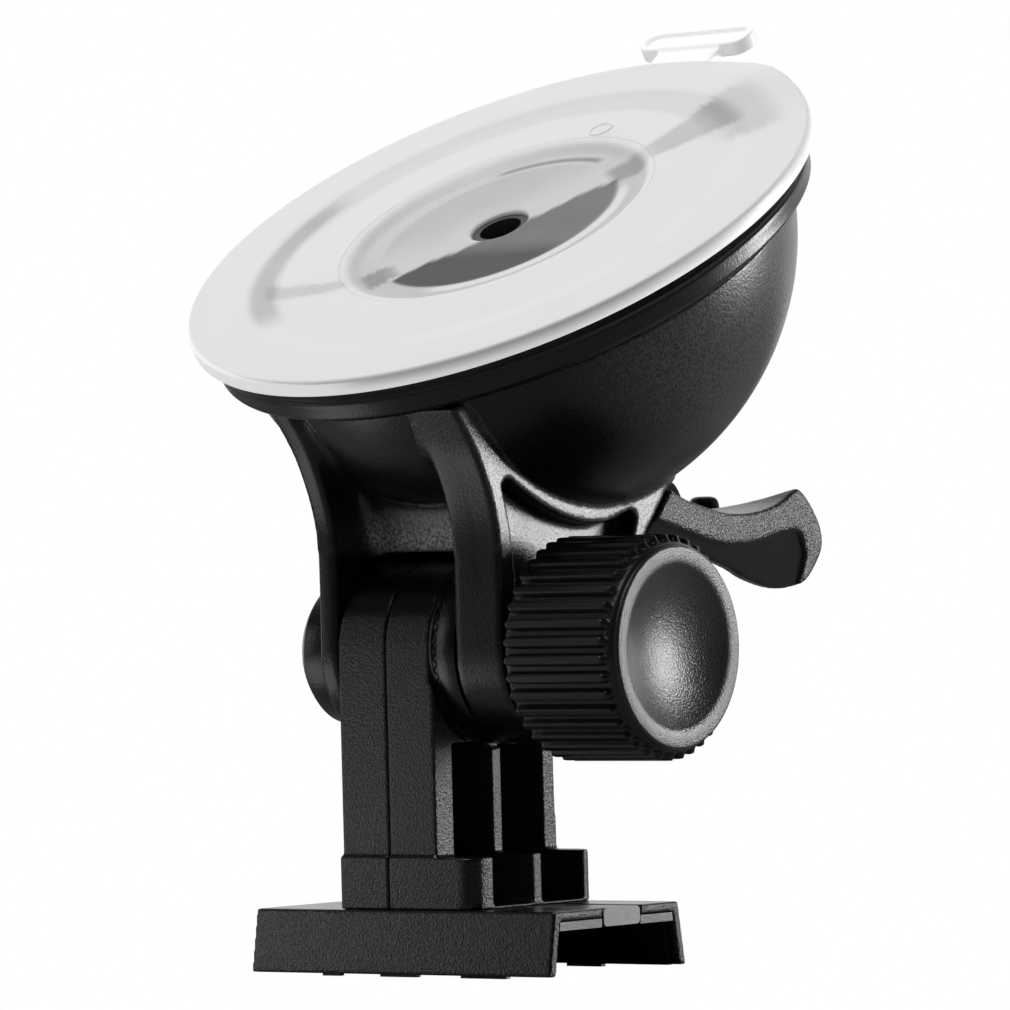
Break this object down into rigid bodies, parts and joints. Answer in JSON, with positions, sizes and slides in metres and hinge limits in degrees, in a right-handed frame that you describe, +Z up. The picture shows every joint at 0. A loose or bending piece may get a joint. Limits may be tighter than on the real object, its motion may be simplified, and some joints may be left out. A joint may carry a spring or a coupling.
{
  "type": "dash camera windscreen suction mount",
  "caption": "Suction-cup windscreen mount for a dash camera: clear pad on a black dome with a cam lever, a yoke and knob that clamp a tilting stem, and a slide-in cradle.",
  "frame": {"origin": "on the flat roof face inside the camera cradle, straight below the tilt hinge", "axes": "+X along the tilt hinge, towards the knob; +Z up, away from the camera; +Y towards the lever"},
  "size_m": [0.0668, 0.0677, 0.0953],
  "materials": {
    "clear_pad": "clear soft gel, frosted by fine surface texture",
    "insert_plastic": "dark moulded plastic seen through the pad",
    "stud_plastic": "smooth dark moulded plastic",
    "spring_steel": "drawn spring wire",
    "bright_steel": "zinc plated steel",
    "brass": "turned brass",
    "black_satin": "satin black moulded plastic",
    "black_texture": "black moulded plastic with a fine spark-eroded grain",
    "liner_black": "smooth black moulded plastic",
    "knob_black": "black moulded plastic",
    "knob_face": "dark grey moulded plastic, fine texture, semi-gloss dish",
    "latch_grey": "smooth dark grey moulded plastic"
  },
  "bodies": {
    "cup": {"suction_pad": "clear_pad", "return_spring": "spring_steel", "rim_ring": "black_satin", "dome_housing": "black_satin", "ratchet_ring": "black_texture", "hinge_bolt": "bright_steel", "bolt_cap": "black_satin", "clamp_washer": "bright_steel"},
    "plunger": {"pad_insert": "insert_plastic", "pull_stud": "stud_plastic", "lever_pin": "bright_steel"},
    "lever": {"lever": "black_texture"},
    "clamp_stack": {"spring_washer": "spring_steel"},
    "knob": {"knob": "knob_black", "knob_cap": "knob_face", "knob_insert": "brass"},
    "stem": {"stem_half_left": "black_texture", "stem_half_right": "black_texture", "stem_ratchet": "black_texture", "stem_screws": "bright_steel", "base_shell": "black_texture", "rail_liner": "liner_black", "base_screws": "bright_steel"},
    "latch": {"latch_tongue": "latch_grey"}
  },
  "joints": [
    {"name": "tilt", "type": "hinge", "parent": "cup", "child": "stem", "pos_m": [0, 0, 0.02745], "axis": [1, 0, 0], "range_deg": [-90, 45]},
    {"name": "lever_flip", "type": "hinge", "parent": "plunger", "child": "lever", "pos_m": [0, 0.02382, 0.04018], "axis": [1, 0, 0], "range_deg": [0, 50]},
    {"name": "pad_pull", "type": "slide", "parent": "cup", "child": "plunger", "axis": [0, 0.4939, -0.8695], "range_m": [0, 0.00254], "deforming": ["return_spring", "suction_pad"]},
    {"name": "clamp_backoff", "type": "slide", "parent": "cup", "child": "clamp_stack", "axis": [1, 0, 0], "range_m": [0, 0.0016]},
    {"name": "knob_turn", "type": "hinge", "parent": "clamp_stack", "child": "knob", "pos_m": [0.0195, 0, 0.02745], "axis": [1, 0, 0], "range_deg": [0, 720]},
    {"name": "latch_flex", "type": "hinge", "parent": "stem", "child": "latch", "pos_m": [0.0085, 0.00075, 0.00095], "axis": [0, -1, 0], "range_deg": [0, 5], "stiffness_Nm_per_rad": 0.05}
  ],
  "couplings": [
    {"joint": "lever_flip", "follows": "pad_pull", "rad_per_m": 344.19},
    {"joint": "clamp_backoff", "follows": "knob_turn", "m_per_rad": 0.00012732}
  ]
}
